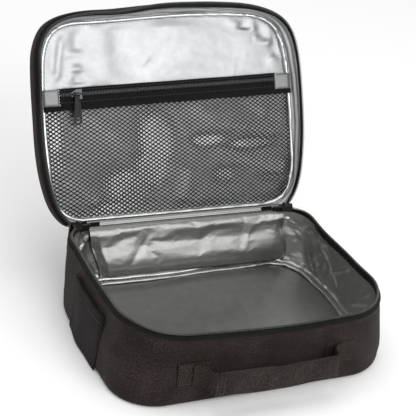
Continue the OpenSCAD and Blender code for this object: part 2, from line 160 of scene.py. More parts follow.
# The open lid's edge isn't a perfect rounded box: its outlines, in (x, v), at the zip, at the
# top panel and round the lining's panel.
ZIP_LINE = [
    (-97.2, -4.2), (-104.3, -6.2), (-111.6, 0.5), (-118, 9), (-122.5, 21), (-125.8, 40), (-127.5, 60), (-128.3, 85),
    (-128.3, 110), (-127.7, 130), (-126.5, 148), (-121.3, 160), (-112.8, 169.3), (-101, 174.5),
    (-86.7, 177), (-70.3, 177.8), (-54, 177.6), (-38, 179.2), (-20, 182), (0, 183.6), (20, 183.6),
    (45, 183.5), (65.3, 182.8), (86.3, 180.2), (101.1, 176.2), (112.2, 170), (119.9, 161.5), (124.9, 150),
    (127.7, 136), (129.1, 120), (129.7, 100), (129.9, 80), (129.5, 64), (128.1, 48), (126.3, 34),
    (123.1, 20), (118.7, 9), (113.2, 1), (106.1, -5.8), (98.5, -4.2),
]
TOP_LINE = [
    (-97.2, -3.7), (-104.8, -4.7), (-112.8, 2), (-118.3, 11), (-122.6, 24), (-125.8, 40), (-127.7, 60), (-128.5, 85),
    (-128.5, 110), (-127.9, 130), (-126.5, 145), (-122.5, 157), (-116.1, 167), (-105.1, 173.6),
    (-90.8, 177.8), (-72.3, 180.6), (-54, 181.6), (-38, 182.6), (-20, 184), (0, 184.8), (20, 185),
    (45, 184.8), (65.3, 184), (86.3, 181.5), (102.2, 177), (113.2, 170.6), (120.9, 162), (125.9, 150),
    (128.6, 136), (130, 120), (130.6, 100), (130.8, 80), (130.4, 64), (128.9, 48), (126.9, 34),
    (123.7, 20), (119, 9.5), (113.5, 2), (106.1, -4.7), (98.5, -3.7),
]
LINING_LINE = [
    (-90, -1.8), (-102, 1.2), (-111, 8.5), (-116.5, 22), (-119, 42), (-120.4, 70), (-120.8, 100),
    (-120.2, 125), (-118, 145), (-113, 158), (-104.5, 166), (-93, 169.6), (-77, 170.6),
    (-50, 172), (-20, 174), (10, 175.6), (40, 176.2), (68, 175.8), (88, 174), (101, 170),
    (110, 162.5), (115.7, 151), (119, 137), (121.2, 118), (122.4, 95), (123, 71), (123, 50),
    (122, 30), (118.5, 15), (111.5, 5.5), (101, 0.2), (88, -1.8),
]


def curve_through(points, closed):
    """A smooth outline through points in (x, v), as (x, -v), with as many points as outline()
    gives: the open part first, then the straight back edge where it is closed."""
    p = fine([(x, -v) for x, v in points], 291)
    p = loop_smooth(p, 6, False)
    if closed:
        p = np.concatenate([p[:-1], line(p[-1], p[0], 80)])
    return p


def lid_outline(h, closed=False):
    """The lid's outline at depth h, where v runs from the hinge to the free edge."""
    return mix(curve_through(ZIP_LINE, closed), curve_through(TOP_LINE, closed), min(max(h / 22, 0), 1))


def to_lid(x, v, h):
    """Lid coordinates to the row frame at rest."""
    c, s = math.cos(LID_ANGLE), math.sin(LID_ANGLE)
    x, v, h = np.broadcast_arrays(x, v, h)
    return np.stack([x, HINGE_Y - v * c + h * s, HINGE_Z + v * s + h * c], -1).astype(float)


def lid_ring(h, off, closed=False):
    p = lid_outline(h, closed)
    p = p + normals_of(p, closed) * np.asarray(off)[..., None]
    return to_lid(p[:, 0], -p[:, 1], h)


# ---- seeded soft noise ---------------------------------------------------------------------


def waves(p, size, seed, n=18):
    """Smooth noise about -1 to 1 with features of about size mm."""
    r = np.random.default_rng(seed)
    p = np.asarray(p, float)
    total = np.zeros(p.shape[:-1])
    for _ in range(n):
        d = r.normal(size=p.shape[-1])
        d /= np.linalg.norm(d)
        k = 2 * math.pi / (size * r.uniform(1.2, 3.2))
        total += np.sin(p @ d * k + r.uniform(0, 7)) * r.uniform(0.5, 1)
    return total / (0.55 * n**0.5 * 1.4)


def crumple(p, size, seed, octaves=3):
    """Creased noise: ridges where the film is folded."""
    total, amp = 0, 1.0
    for k in range(octaves):
        total = total + amp * (1 - np.abs(waves(p, size / 2**k, seed + k)) * 1.6)
        amp *= 0.5
    return total


def ridge(x, y, a, b, width, height, fade=0.25):
    """A soft ridge along the segment a to b, fading at both ends."""
    a, b = np.array(a, float), np.array(b, float)
    d = b - a
    length = np.hypot(*d)
    d = d / length
    along = (x - a[0]) * d[0] + (y - a[1]) * d[1]
    across = -(x - a[0]) * d[1] + (y - a[1]) * d[0]
    t = along / length
    return height * bump_at(across, width) * smooth(t / fade + 0.5) * smooth((1 - t) / fade + 0.5)


# ---- meshes --------------------------------------------------------------------------------


def mesh_object(name, verts, faces, uvs=None, smooth_shade=True):
    me = bpy.data.meshes.new(name)
    me.from_pydata((np.asarray(verts, float) * MM).tolist(), [], [list(map(int, f)) for f in faces])
    if uvs is not None:
        layer = me.uv_layers.new(name="UVMap")
        loops = np.zeros(len(me.loops), np.int64)
        me.loops.foreach_get("vertex_index", loops)
        layer.data.foreach_set("uv", np.asarray(uvs, float)[loops].astype(np.float32).ravel())
    me.update()
    if smooth_shade:
        me.polygons.foreach_set("use_smooth", [True] * len(me.polygons))
    o = bpy.data.objects.new(name, me)
    scene.collection.objects.link(o)
    return o


def grid_faces(n, m, wrap_n=False, wrap_m=False):
    i, j = np.meshgrid(np.arange(n if wrap_n else n - 1), np.arange(m if wrap_m else m - 1), indexing="ij")
    i, j = i.ravel(), j.ravel()
    i1, j1 = (i + 1) % n, (j + 1) % m
    return np.stack([i * m + j, i1 * m + j, i1 * m + j1, i * m + j1], 1)


def grid_uv(P):
    """UVs in units of 100 mm, from lengths along the grid's middle row and column."""
    n, m = P.shape[:2]
    u = np.concatenate([[0], np.cumsum(np.linalg.norm(np.diff(P[:, m // 2], axis=0), axis=1))])
    v = np.concatenate([[0], np.cumsum(np.linalg.norm(np.diff(P[n // 2], axis=0), axis=1))])
    return np.stack(np.broadcast_arrays(u[:, None], v[None]), -1).reshape(-1, 2) / 100


def grid(name, P, wrap_n=False, wrap_m=False, flip=False, uv=None):
    """A surface through an n by m grid of points."""
    P = np.asarray(P, float)
    faces = grid_faces(P.shape[0], P.shape[1], wrap_n, wrap_m)
    if flip:
        faces = faces[:, ::-1]
    return mesh_object(name, P.reshape(-1, 3), faces, grid_uv(P) if uv is None else uv)


def rings(*pairs):
    """Stacks rings of points into a grid."""
    return np.stack(pairs, 1)


def fine(profile, n):
    """n points along a smooth curve through the profile's points."""
    p = np.asarray(profile, float)
    d = np.concatenate([[0], np.cumsum(np.linalg.norm(np.diff(p, axis=0), axis=1))])
    t = np.linspace(0, d[-1], n)
    out = []
    for k in range(p.shape[1]):
        m = np.gradient(p[:, k], d)
        i = np.clip(np.searchsorted(d, t) - 1, 0, len(d) - 2)
        h = d[i + 1] - d[i]
        s = (t - d[i]) / h
        out.append(
            (2 * s**3 - 3 * s**2 + 1) * p[i, k]
            + (s**3 - 2 * s**2 + s) * h * m[i]
            + (-2 * s**3 + 3 * s**2) * p[i + 1, k]
            + (s**3 - s**2) * h * m[i + 1]
        )
    return np.stack(out, 1)


def band(ring, profile, n, closed=False):
    """A grid swept round a ring function along a profile of (offset, height)."""
    return np.stack([ring(z, off, closed) for off, z in fine(profile, n)], 1)


def solidify(o, thickness, offset=-1):
    m = o.modifiers.new("thickness", "SOLIDIFY")
    m.thickness = thickness * MM
    m.offset = offset
    return o


def subdivide(o, levels=1):
    m = o.modifiers.new("smooth", "SUBSURF")
    m.levels = m.render_levels = levels
    return o


def apply_all(o):
    """Turns the object's modifiers into its mesh."""
    dg = bpy.context.evaluated_depsgraph_get()
    me = bpy.data.meshes.new_from_object(o.evaluated_get(dg))
    o.modifiers.clear()
    o.data = me
    me.polygons.foreach_set("use_smooth", [True] * len(me.polygons))
    return o


def frames_along(path, up):
    """Unit tangent, side and up vectors along a path, from an up vector at each point."""
    t = np.gradient(path, axis=0)
    t /= np.linalg.norm(t, axis=1)[:, None] + 1e-9
    s = np.cross(t, up)
    s /= np.linalg.norm(s, axis=1)[:, None] + 1e-9
    return t, s, np.cross(s, t)


def resample(path, step=None, n=None, extra=()):
    d = np.concatenate([[0], np.cumsum(np.linalg.norm(np.diff(path, axis=0), axis=1))])
    count = n or max(2, int(round(d[-1] / step)) + 1)
    t = np.linspace(0, d[-1], count)
    out = [np.stack([np.interp(t, d, a[:, k]) for k in range(a.shape[1])], 1) for a in (path, *extra)]
    return out if extra else out[0]


def tube(name, path, radius, sides=10, closed=False, up=(0, 0, 1), flat=1.0):
    """A round or flattened tube along a path."""
    path = np.asarray(path, float)
    if closed:
        t = np.roll(path, -1, 0) - np.roll(path, 1, 0)
    else:
        t = np.gradient(path, axis=0)
    t /= np.linalg.norm(t, axis=1)[:, None] + 1e-9
    upv = np.broadcast_to(np.asarray(up, float), path.shape)
    s = np.cross(t, upv)
    s /= np.linalg.norm(s, axis=1)[:, None] + 1e-9
    u = np.cross(s, t)
    r = np.broadcast_to(np.asarray(radius, float), len(path))[:, None, None]
    a = np.linspace(0, 2 * math.pi, sides, endpoint=False)
    P = path[:, None] + r * (np.cos(a)[None, :, None] * s[:, None] + flat * np.sin(a)[None, :, None] * u[:, None])
    o = grid(name, P, wrap_n=closed, wrap_m=True, flip=True)
    return o


def repeated(name, centres, T, S, U, block):
    """Many copies of a small block, one at each centre, turned to the local frame."""
    verts, faces = block
    verts = np.asarray(verts, float)
    V = (
        centres[:, None]
        + verts[None, :, 0:1] * T[:, None]
        + verts[None, :, 1:2] * S[:, None]
        + verts[None, :, 2:3] * U[:, None]
    )
    k = len(verts)
    F = [[i * k + a for a in f] for i in range(len(centres)) for f in faces]
    return mesh_object(name, V.reshape(-1, 3), F)


def pill(length, width, height):
    """A small rounded block: a box with its top and ends pulled in."""
    l, w, h = length / 2, width / 2, height
    v = []
    for z, s in ((0, 1.0), (h * 0.6, 0.92), (h, 0.45)):
        for x, y in ((-1, -0.5), (-0.6, -1), (0.6, -1), (1, -0.5), (1, 0.5), (0.6, 1), (-0.6, 1), (-1, 0.5)):
            v.append((x * l * mix(1, s, 0.6), y * w * s, z))
    f = [[7, 6, 5, 4, 3, 2, 1, 0], list(range(16, 24))]
    for r in (0, 8):
        for k in range(8):
            f.append([r + k, r + (k + 1) % 8, r + 8 + (k + 1) % 8, r + 8 + k])
    return v, f


def stitches(name, path, up, length=2.2, gap=1.1, width=0.55, height=0.35, skip=()):
    """A row of thread stitches along a path on a surface whose outward direction is up."""
    up = np.broadcast_to(np.asarray(up, float), path.shape).copy()
    c, u = resample(np.asarray(path, float), step=length + gap, extra=(up,))
    T, S, U = frames_along(c, u)
    return repeated(name, c, T, S, U, pill(length, width, height))


# ---- materials -----------------------------------------------------------------------------


def new_material(name, color, rough, metallic=0.0, **sockets):
    m = bpy.data.materials.new(name)
    m.use_nodes = True
    b = m.node_tree.nodes["Principled BSDF"]
    b.inputs["Base Color"].default_value = (*color, 1)
    b.inputs["Roughness"].default_value = rough
    b.inputs["Metallic"].default_value = metallic
    for k, v in sockets.items():
        b.inputs[k.replace("_", " ")].default_value = v
    m.diffuse_color = (*color, 1)
    return m, m.node_tree.nodes, m.node_tree.links, b


def node(nodes, kind, **values):
    n = nodes.new(kind)
    for k, v in values.items():
        if k.startswith("in_"):
            key = k[3:]
            n.inputs[int(key) if key.isdigit() else key.replace("_", " ")].default_value = v
        else:
            setattr(n, k, v)
    return n


def maths(nodes, links, op, a, b=None, clamp=False):
    n = nodes.new("ShaderNodeMath")
    n.operation = op
    n.use_clamp = clamp
    for k, x in enumerate((a, b)):
        if x is None:
            continue
        if isinstance(x, (int, float)):
            n.inputs[k].default_value = x
        else:
            links.new(x, n.inputs[k])
    return n.outputs[0]


def coordinate(nodes, links, source, scale):
    tc = nodes.new("ShaderNodeTexCoord")
    mp = nodes.new("ShaderNodeMapping")
    mp.inputs["Scale"].default_value = scale if hasattr(scale, "__len__") else (scale,) * 3
    links.new(tc.outputs[source], mp.inputs["Vector"])
    return mp.outputs[0]


def noise_tex(nodes, links, vector, scale, detail=3, rough=0.55):
    n = node(nodes, "ShaderNodeTexNoise", in_Scale=scale, in_Detail=detail, in_Roughness=rough)
    links.new(vector, n.inputs["Vector"])
    return n.outputs["Fac"]


def ramp(nodes, links, fac, stops):
    n = nodes.new("ShaderNodeValToRGB")
    e = n.color_ramp.elements
    e[0].position, e[0].color = stops[0][0], (*stops[0][1], 1)
    e[1].position, e[1].color = stops[-1][0], (*stops[-1][1], 1)
    for p, c in stops[1:-1]:
        x = e.new(p)
        x.color = (*c, 1)
    links.new(fac, n.inputs[0])
    return n.outputs[0]


def add_bump(nodes, links, bsdf, height, strength, distance):
    b = node(nodes, "ShaderNodeBump", in_Strength=strength, in_Distance=distance * MM)
    links.new(height, b.inputs["Height"])
    old = bsdf.inputs["Normal"].links
    if old:
        links.new(old[0].from_socket, b.inputs["Normal"])
    links.new(b.outputs[0], bsdf.inputs["Normal"])


def weave(name, color, light, pitch=1.0, rough=0.85, sheen=0.25, depth=0.25, tint=(1, 0.9, 0.85)):
    """Plain-woven polyester: threads over and under, flecks of light fibre, soft sheen."""
    m, N, L, b = new_material(name, color, rough, Sheen_Weight=sheen, Sheen_Roughness=0.45)
    b.inputs["Sheen Tint"].default_value = (*tint, 1)
    b.inputs["Specular IOR Level"].default_value = 0.16
    uv = coordinate(N, L, "UV", 100.0)
    s = N.new("ShaderNodeSeparateXYZ")
    L.new(uv, s.inputs[0])
    k = math.pi / pitch * 2
    a = maths(N, L, "SINE", maths(N, L, "MULTIPLY", s.outputs[0], k))
    c = maths(N, L, "SINE", maths(N, L, "MULTIPLY", s.outputs[1], k))
    threads = maths(N, L, "MULTIPLY", a, c)
    fleck = noise_tex(N, L, uv, 0.75 / pitch, 4, 0.75)
    patch = noise_tex(N, L, uv, 0.05, 2)
    fac = maths(N, L, "ADD", maths(N, L, "MULTIPLY", threads, 0.14), fleck)
    fac = maths(N, L, "ADD", fac, maths(N, L, "MULTIPLY", maths(N, L, "SUBTRACT", patch, 0.5), 0.35))
    dark = tuple(x * 0.45 for x in color)
    col = ramp(N, L, fac, [(0.3, dark), (0.52, color), (0.75, light)])
    L.new(col, b.inputs["Base Color"])
    add_bump(N, L, b, threads, 0.5, depth)
    add_bump(N, L, b, fleck, 0.35, depth)
    return m


def ribbed(name, color, light, rib=2.1):
    """Webbing: a herringbone of ribs."""
    m, N, L, b = new_material(name, color, 0.75)
    b.inputs["Specular IOR Level"].default_value = 0.1
    uv = coordinate(N, L, "UV", 100.0)
    s = N.new("ShaderNodeSeparateXYZ")
    L.new(uv, s.inputs[0])
    zig = maths(N, L, "PINGPONG", s.outputs[1], 2.5)
    rows = maths(N, L, "SINE", maths(N, L, "MULTIPLY", maths(N, L, "ADD", s.outputs[0], zig), 2 * math.pi / rib))
    cols = maths(N, L, "SINE", maths(N, L, "MULTIPLY", s.outputs[1], 2 * math.pi / 1.25))
    height = maths(N, L, "ADD", rows, maths(N, L, "MULTIPLY", cols, 0.5))
    fac = maths(N, L, "ADD", maths(N, L, "MULTIPLY", height, 0.24), noise_tex(N, L, uv, 0.9, 3))
    L.new(ramp(N, L, fac, [(0.35, color), (0.85, light)]), b.inputs["Base Color"])
    add_bump(N, L, b, height, 0.8, 0.35)
    return m


def foil(name, color, rough, crinkle=0.25, metallic=0.9, grain=0.35, streak=0.0):
    """Metallised film laminated to a backing: satin, with fine crinkles and uneven polish."""
    m, N, L, b = new_material(name, color, rough, metallic)
    uv = coordinate(N, L, "Object", 1000.0)
    fine_n = noise_tex(N, L, uv, 0.55, 3, 0.6)
    mid = noise_tex(N, L, uv, 0.11, 4, 0.6)
    big = noise_tex(N, L, uv, 0.03, 2)
    low = tuple(x * 0.86 for x in color)
    L.new(ramp(N, L, mid, [(0.3, low), (0.7, color)]), b.inputs["Base Color"])
    r = maths(N, L, "ADD", maths(N, L, "MULTIPLY", maths(N, L, "SUBTRACT", big, 0.5), 0.14), rough)
    r = maths(N, L, "ADD", maths(N, L, "MULTIPLY", maths(N, L, "SUBTRACT", fine_n, 0.5), 0.08), r, clamp=True)
    L.new(r, b.inputs["Roughness"])
    add_bump(N, L, b, mid, crinkle, 0.8)
    add_bump(N, L, b, fine_n, grain, 0.12)
    return m


def knitted(name, color):
    """Warp-knit net yarn: near-black, with a fine twist and a faint shine."""
    m, N, L, b = new_material(name, color, 0.5, Sheen_Weight=0.08)
    b.inputs["Specular IOR Level"].default_value = 0.2
    ob = coordinate(N, L, "Object", 1000.0)
    n = noise_tex(N, L, ob, 2.4, 3)
    L.new(ramp(N, L, n, [(0.35, tuple(x * 0.5 for x in color)), (0.75, tuple(x * 2.2 for x in color))]), b.inputs["Base Color"])
    add_bump(N, L, b, n, 0.4, 0.15)
    return m


def painted(name, color, rough=0.35, metallic=0.6):
    """Painted or plated zinc: fine orange peel, worn lighter in scattered spots."""
    m, N, L, b = new_material(name, color, rough, metallic, Coat_Weight=0.3, Coat_Roughness=0.2)
    ob = coordinate(N, L, "Object", 1000.0)
    n = noise_tex(N, L, ob, 1.1, 4)
    worn = tuple(min(1, x * 3 + 0.03) for x in color)
    L.new(ramp(N, L, n, [(0.45, color), (0.8, worn)]), b.inputs["Base Color"])
    add_bump(N, L, b, n, 0.15, 0.1)
    return m


MAT = {
    "shell": weave("charcoal_weave", (0.0160, 0.0118, 0.0110), (0.054, 0.040, 0.037), 1.1, 0.85, 0.05),
    # Black weave for the bottom, rim seams and hinge fold; on the side pocket it is painted shade for the left side.
    "dark": weave("black_weave_and_shade", (0.0085, 0.0070, 0.0070), (0.026, 0.022, 0.022), 1.0, 0.85, 0.04),
    "grip": weave("grip_weave", (0.0185, 0.0140, 0.0130), (0.066, 0.050, 0.045), 1.1, 0.8, 0.06),
    "webbing": ribbed("webbing", (0.003, 0.0026, 0.0025), (0.085, 0.066, 0.056)),
    "tape": weave("zip_tape", (0.0045, 0.0040, 0.0040), (0.013, 0.012, 0.012), 0.8, 0.75, 0.03),
    "coil": painted("coil", (0.024, 0.023, 0.022), 0.3, 0.0),
    "liner": foil("foil_liner", (0.43, 0.433, 0.438), 0.44, 0.10, 0.80, 0.12),
    # The hinge panel's foil is the same film as the lining, given a darker colour: painted shade.
    "hinge_liner_painted_shade": foil("hinge_foil_painted_shade", (0.25, 0.25, 0.246), 0.36, 0.12, 0.85, 0.15),
    "tub_liner": foil("tub_foil", (0.47, 0.475, 0.462), 0.33, 0.15, 0.9, 0.2),
    "patch": foil("patch_foil", (0.24, 0.24, 0.24), 0.5, 0.2, 0.6, 0.3),
    "gloss": painted("gloss_metal", (0.010, 0.010, 0.010), 0.16, 0.5),
    "bronze": painted("bronze_metal", (0.030, 0.022, 0.016), 0.3, 0.8),
    # The tub floor's foil is the same film as the lining, given a darker colour: painted shade.
    "floor_liner": foil("floor_foil_painted_shade", (0.27, 0.275, 0.258), 0.36, 0.12, 0.85, 0.15),
    "binding": foil("foil_binding", (0.60, 0.607, 0.615), 0.30, 0.3, 0.92, 0.2),
    "thread": new_material("silver_thread", (0.5, 0.5, 0.5), 0.5)[0],
    "black_thread": new_material("black_thread", (0.03, 0.027, 0.026), 0.6)[0],
    "net": knitted("mesh_net", (0.0055, 0.0055, 0.0055)),
    "metal": painted("black_metal", (0.012, 0.012, 0.012)),
    "brass": painted("brass", (0.42, 0.26, 0.10), 0.3, 1.0),
}


def dress(o, mat, body=None, replaces=()):
    o.data.materials.clear()
    o.data.materials.append(MAT[mat])
    if body:
        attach(o, body)
    if replaces:
        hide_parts(*replaces)
    return o


# ---- camera, light, floor ------------------------------------------------------------------

camera_at = Vector((-465.7, -785.4, 571.2)) * MM
azimuth, elevation, roll = -0.5087, 0.4673, 0.1563
back = Vector(
    (math.sin(azimuth) * math.cos(elevation), -math.cos(azimuth) * math.cos(elevation), math.sin(elevation))
)
side = Vector((0, 0, 1)).cross(back).normalized()
top = back.cross(side)
right = side * math.cos(roll) + top * math.sin(roll)
above = -side * math.sin(roll) + top * math.cos(roll)
cam_data = bpy.data.cameras.new("camera")
cam_data.sensor_width = 36
cam_data.lens = 108.17
cam_data.clip_start = 0.01
camera = bpy.data.objects.new("camera", cam_data)
camera.matrix_world = Matrix.Translation(camera_at) @ Matrix((right, above, back)).transposed().to_4x4()
scene.collection.objects.link(camera)
scene.camera = camera

world = bpy.data.worlds.new("studio")
world.use_nodes = True
world.node_tree.nodes["Background"].inputs["Color"].default_value = (1, 1, 1, 1)
world.node_tree.nodes["Background"].inputs["Strength"].default_value = 0.74
scene.world = world
scene.view_settings.view_transform = "Standard"


def soft_light(name, at, size, power, target=(0, 0, 0.05)):
    d = bpy.data.lights.new(name, "AREA")
    d.shape = "RECTANGLE"
    d.size, d.size_y = size
    d.energy = power
    o = bpy.data.objects.new(name, d)
    o.location = at
    o.rotation_euler = (Vector(target) - Vector(at)).to_track_quat("-Z", "Y").to_euler()
    scene.collection.objects.link(o)
    return o


soft_light("front", (0.3, -1.5, 0.95), (1.7, 0.8), 17)
soft_light("overhead", (0.0, 0.5, 2.2), (2.0, 1.6), 14)

floor = mesh_object("floor", [(-4000, -4000, 0), (4000, -4000, 0), (4000, 4000, 0), (-4000, 4000, 0)], [[0, 1, 2, 3]])
pale, _, _, _ = new_material("pale_floor", (0.93, 0.93, 0.93), 0.9)
floor.data.materials.append(pale)
floor.location.z = -0.0002

# ---- tub: outer shell ----------------------------------------------------------------------


def displace(P, amount, closed=False, wrap_m=False):
    """Moves a grid's points along its normals by amount in mm."""
    du = np.roll(P, -1, 0) - np.roll(P, 1, 0) if closed else np.gradient(P, axis=0)
    dv = np.roll(P, -1, 1) - np.roll(P, 1, 1) if wrap_m else np.gradient(P, axis=1)
    n = np.cross(du, dv)
    n /= np.linalg.norm(n, axis=2)[..., None] + 1e-9
    return P + n * amount[..., None]


def settle(o, held, pressure, cap, grow=0.0, mass=0.15):
    """Lets a padded piece find its own shape in a short cloth simulation: held gives each
    point's grip from 0 to 1, and no point moves more than cap mm."""
    before = np.zeros(len(o.data.vertices) * 3, np.float32)
    o.data.vertices.foreach_get("co", before)
    before = before.reshape(-1, 3)
    group = o.vertex_groups.new(name="held")
    for i, w in enumerate(np.broadcast_to(held, len(before))):
        if w > 0.001:
            group.add([i], float(w), "REPLACE")
    m = o.modifiers.new("cloth", "CLOTH")
    c = m.settings
    c.quality = 5
    c.mass = mass
    c.tension_stiffness = c.compression_stiffness = 12
    c.shear_stiffness = 8
    c.bending_stiffness = 0.4
    c.air_damping = 4
    c.shrink_min = -grow
    c.use_pressure = pressure != 0
    c.uniform_pressure_force = pressure
    c.vertex_group_mass = "held"
    c.pin_stiffness = 1
    c.effector_weights.gravity = 0
    m.collision_settings.use_collision = False
    m.collision_settings.use_self_collision = False
    m.point_cache.frame_start, m.point_cache.frame_end = 1, 20
    for frame_number in range(1, 21):
        scene.frame_set(frame_number)
    dg = bpy.context.evaluated_depsgraph_get()
    moved = o.evaluated_get(dg).data
    after = np.zeros(len(moved.vertices) * 3, np.float32)
    moved.vertices.foreach_get("co", after)
    o.modifiers.remove(m)
    scene.frame_set(1)
    shift = after.reshape(-1, 3) - before
    length = np.linalg.norm(shift, axis=1)[:, None]
    shift *= np.minimum(1, cap * MM / np.maximum(length, 1e-9))
    shift[~np.isfinite(shift).all(1)] = 0
    o.data.vertices.foreach_set("co", (before + shift).ravel())
    o.data.update()
    o.vertex_groups.clear()
    return o


wall_profile = [
    (-9, 0.5), (-4, 0.35), (-1.6, 0.9), (-0.4, 2.6), (0.3, 7), (0.9, 18), (0.9, 32), (0.4, 44), (0.1, 53), (0.1, 56.6)
]
W = band(tub_ring, wall_profile, 64, closed=True)
x, y, z = W[..., 0], W[..., 1], W[..., 2]
edge = smooth(z / 14) * smooth((55 - z) / 10)
fold = 0.5 * waves(W * [1, 1, 0.55], 34, 3) + 0.22 * waves(W * [1, 1, 0.4], 14, 5)
# Creases where the soft corners buckle, and a slack wave along the front.
fold += ridge(x, z, (-112, 50), (-66, 6), 7, 0.9) * (y < -30)
fold += ridge(x, z, (-125, 44), (-92, 4), 5, -0.8) * (y < -10)
fold += ridge(x, z, (84, 52), (118, 10), 8, 0.8) * (y < -30)
fold += ridge(x, z, (-60, 46), (40, 50), 6, -0.4) * (y < -60)
W = displace(W, fold * edge, closed=True)
shell = grid("tub_shell", W, wrap_n=True)
dress(shell, "shell", "tub", ["base_wall_fabric", "base_back_panel"])

bottom_ring = W[:, 0]
centre = bottom_ring.mean(0)
levels = np.linspace(1, 0, 9)[1:]
B = np.stack([centre + (bottom_ring - centre) * s for s in np.linspace(1, 0.0, 12)], 1)
B[..., 2] = 0.5
bottom = grid("tub_bottom", B, wrap_n=True, flip=True)
dress(bottom, "dark", "tub", ["base_bottom_panel"])

# Turned seam along the rim, a fine raised line under the zip tape.
seam = band(tub_ring, [(-0.2, 56.0), (0.4, 56.5), (0.5, 57.0), (0.0, 57.6), (-0.9, 57.7)], 9, closed=False)
dress(grid("tub_rim_seam", seam), "dark", "tub", ["rim_seam_fold"])

# ---- tub: zip tape and coil ----------------------------------------------------------------

tape_profile = [(-0.5, 57.2), (-0.8, 58.2), (-1.2, 59.2), (-1.8, 59.9), (-2.5, 60.2), (-3.3, 60.0), (-3.5, 59.0), (-3.4, 57.0), (-3.3, 54.5)]
T = band(tub_ring, tape_profile, 26)
T = T + waves(T, 30, 21)[..., None] * np.array([0.25, 0.25, 0.35])
tape = dress(grid("tub_zip_tape", T), "tape", "tub", ["base_zip_tape"])


def teeth(name, path, outward, up, body, cad, size=(0.85, 2.3, 1.3), pitch=1.35):
    c, o, u = resample(path, step=pitch, extra=(outward, up))
    t = np.gradient(c, axis=0)
    t /= np.linalg.norm(t, axis=1)[:, None]
    s = o / np.linalg.norm(o, axis=1)[:, None]
    n = np.cross(t, s)
    n *= np.sign((n * u).sum(1))[:, None]
    ob = repeated(name, c, t, s, n, pill(*size))
    return dress(ob, "coil", body, cad)


rim = tub_ring(60.5, -2.9)
rim_in = tub_ring(60.5, -4.0)
rim = rim + waves(rim, 30, 21)[..., None] * np.array([0.25, 0.25, 0.35])
teeth("tub_zip_coil", rim, tub_ring(60.5, -2.0) - rim_in, np.broadcast_to([0, 0, 1.0], rim.shape), "tub", ["base_zip_coil"])

# ---- tub: lining ---------------------------------------------------------------------------

def floor_edge(off):
    """Where the floor meets the walls: closer to the outer wall on the right than elsewhere."""
    p = tub_outline(8.0, True)
    near = smooth((p[:, 0] - 70) / 40) * smooth((40 - p[:, 1]) / -60 + 1.3)
    inset = mix(10.8, 4.8, near) + 3.0 * bump_at(p[:, 1] - 92, 14) * bump_at(p[:, 0] + 40, 60)
    q = p - normals_of(p, True) * (inset - off)[:, None]
    return np.column_stack([q, np.full(len(q), 8.0)])


# Creases of the right wall's lining: (y, z) ends, width, height inwards.
WALL_CREASES = [
    ((-60, 44), (-20, 20), 2.2, 1.2), ((-48, 48), (-30, 30), 1.6, 0.9), ((-10, 50), (24, 24), 2.0, 1.3),
    ((6, 20), (40, 44), 1.8, 1.1), ((30, 50), (52, 22), 2.4, 1.6), ((-78, 40), (-66, 16), 2.0, 1.0),
    ((44, 48), (66, 30), 1.8, 1.4), ((56, 24), (78, 42), 2.0, 1.5),
]
rim_ring = tub_ring(57.4, -3.3, closed=True)
foot = floor_edge(-0.2)
foot[:, 2] = 8.6
t = np.linspace(0, 1, 60)[None, :, None]
Lw = rim_ring[:, None] * (1 - t) + foot[:, None] * t
rear_right = smooth((Lw[..., 0] - 60) / 30) * smooth((Lw[..., 1] - 20) / 30)
rear_left = smooth((-Lw[..., 0] - 60) / 30) * smooth((Lw[..., 1] - 20) / 30)
fullness = 2.2 * (1 - 0.9 * rear_right) * smooth((120 - Lw[..., 0]) / 14 + 0.35)
Lw = displace(Lw, -np.sin(math.pi * t[..., 0]) ** 0.8 * fullness, closed=True)
x, y, z = Lw[..., 0], Lw[..., 1], Lw[..., 2]
edge = smooth((57 - z) / 9) * smooth((z - 8) / 6)
corner = bump_at(np.hypot(np.abs(x) - 100, y - 70), 34)
crease = 0.9 * waves(Lw * [1, 1, 0.6], 26, 31) + 0.9 * (crumple(Lw * [1, 1, 0.5], 20, 41) - 1.2) * (0.35 + 2.0 * corner)
crease += 1.8 * rear_right * (crumple(Lw * [1, 1, 0.8], 13, 47) - 0.9)
for a, b, width, height in WALL_CREASES:
    crease += ridge(y, z, a, b, width, height) * smooth((x - 40) / 30)
crease = np.maximum(crease, -0.8 - 0.6 * (1 - rear_right))
Lw = displace(Lw, crease * edge, closed=True)
liner = grid("tub_wall_lining", Lw, wrap_n=True, flip=True)
loose = edge * (0.25 + 0.75 * np.maximum(rear_right, rear_left))
settle(liner, (1 - loose).ravel(), 0, 2.2, 0.03)
dress(liner, "tub_liner", "tub", ["wall_liner", "back_liner", "wall_foam", "back_foam", "floor_foam"])
floor_ring = floor_edge(0.0)
centre = floor_ring.mean(0)
F = np.stack([centre + (floor_ring - centre) * s for s in np.linspace(1, 0.0, 60) ** 0.8], 1)
r = np.linspace(0, 1, 60)[None]
F[..., 2] = 7.2 + 1.2 * smooth(r * 3) * (1 - 0.3 * r) + 0.35 * waves(F[..., :2], 60, 51) * smooth(r * 5)
floor_lining = grid("tub_floor_lining", F, wrap_n=True, flip=False)
# The floor lining takes the darker foil copy, which paints its shade into the colour.
dress(floor_lining, "floor_liner", "tub", ["floor_liner"])

